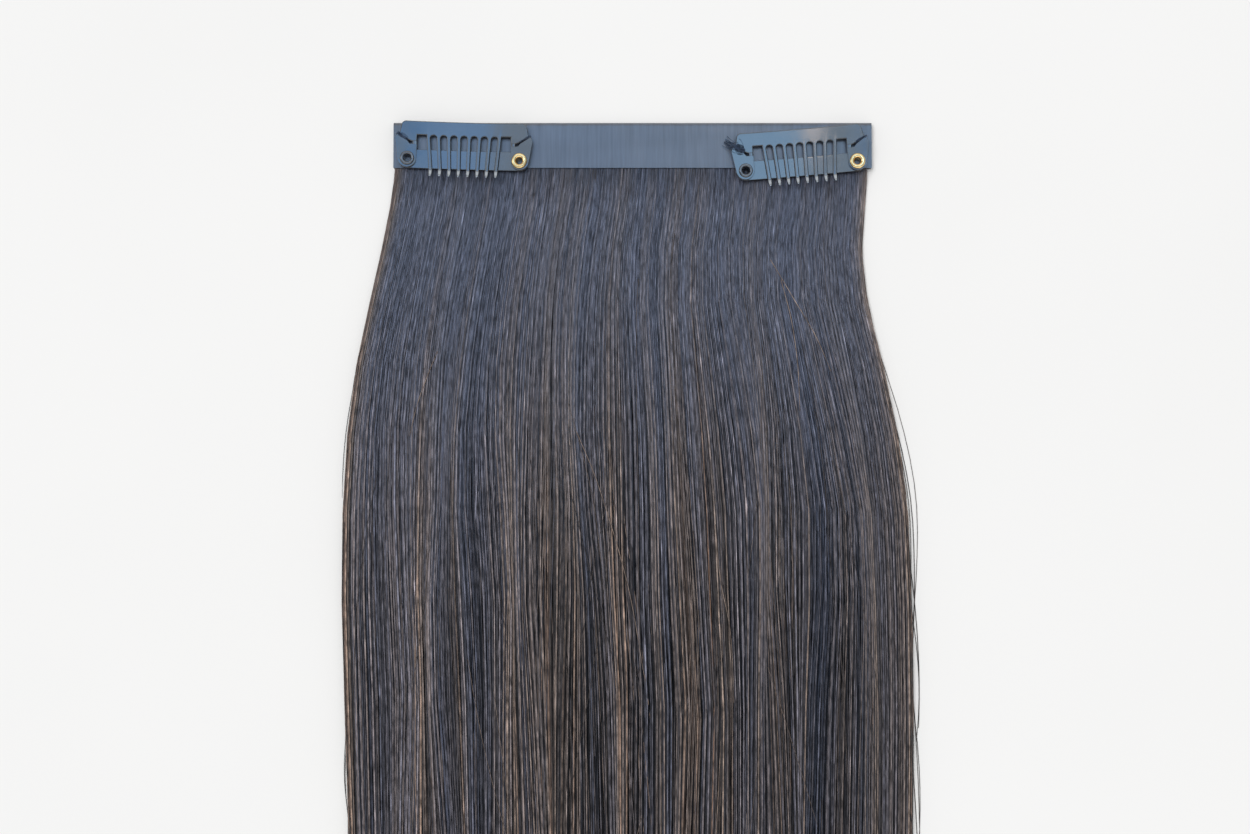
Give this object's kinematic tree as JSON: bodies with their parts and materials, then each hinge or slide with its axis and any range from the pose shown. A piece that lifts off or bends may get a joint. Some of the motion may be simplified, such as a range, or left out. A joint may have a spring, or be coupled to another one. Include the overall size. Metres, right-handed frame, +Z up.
{
  "type": "hair extension",
  "caption": "Straight dark brown weft of hair sealed in a folded film band, with steel snap clips that open to grip the wearer's own hair.",
  "frame": {"origin": "on the surface that the extension lies on, under the middle of the band", "axes": "+X along the band, +Y from the hair's tips to the band, +Z up from the surface"},
  "size_m": [0.1424, 0.355, 0.0048],
  "materials": {
    "film": "clear glossy film over dark hair roots",
    "hair": "straight dark brown hair with a satin sheen",
    "enamel": "gloss black enamel on stamped sheet",
    "brass": "polished"
  },
  "bodies": {
    "weft": {"weft_band": "film", "hair": "hair"},
    "clip_left_comb": {"clip_left_comb": "enamel"},
    "clip_left_base": {"clip_left_strap": "enamel", "clip_left_lobe_outer": "enamel", "clip_left_lobe_inner": "enamel", "clip_left_eyelet_brass": "brass", "clip_left_eyelet_black": "enamel"},
    "clip_right_comb": {"clip_right_comb": "enamel"},
    "clip_right_base": {"clip_right_strap": "enamel", "clip_right_lobe_outer": "enamel", "clip_right_lobe_inner": "enamel", "clip_right_eyelet_brass": "brass", "clip_right_eyelet_black": "enamel"}
  },
  "joints": [
    {"name": "clip_left_open", "type": "hinge", "parent": "weft", "child": "clip_left_comb", "pos_m": [-0.04203, 0.0054, 0.00275], "axis": [-0.9996, 0.0288, 0], "range_deg": [0, 30]},
    {"name": "clip_left_fold", "type": "hinge", "parent": "clip_left_comb", "child": "clip_left_base", "pos_m": [-0.04219, -0.0001, 0.00353], "axis": [0.9996, -0.0288, 0], "range_deg": [0, 60]},
    {"name": "clip_right_open", "type": "hinge", "parent": "weft", "child": "clip_right_comb", "pos_m": [0.0414, 0.00377, 0.00275], "axis": [-0.9963, -0.0854, 0], "range_deg": [0, 30]},
    {"name": "clip_right_fold", "type": "hinge", "parent": "clip_right_comb", "child": "clip_right_base", "pos_m": [0.04187, -0.00171, 0.00353], "axis": [0.9963, 0.0854, 0], "range_deg": [0, 60]}
  ],
  "couplings": [
    {"joint": "clip_left_fold", "follows": "clip_left_open", "ratio": 2},
    {"joint": "clip_right_fold", "follows": "clip_right_open", "ratio": 2}
  ]
}
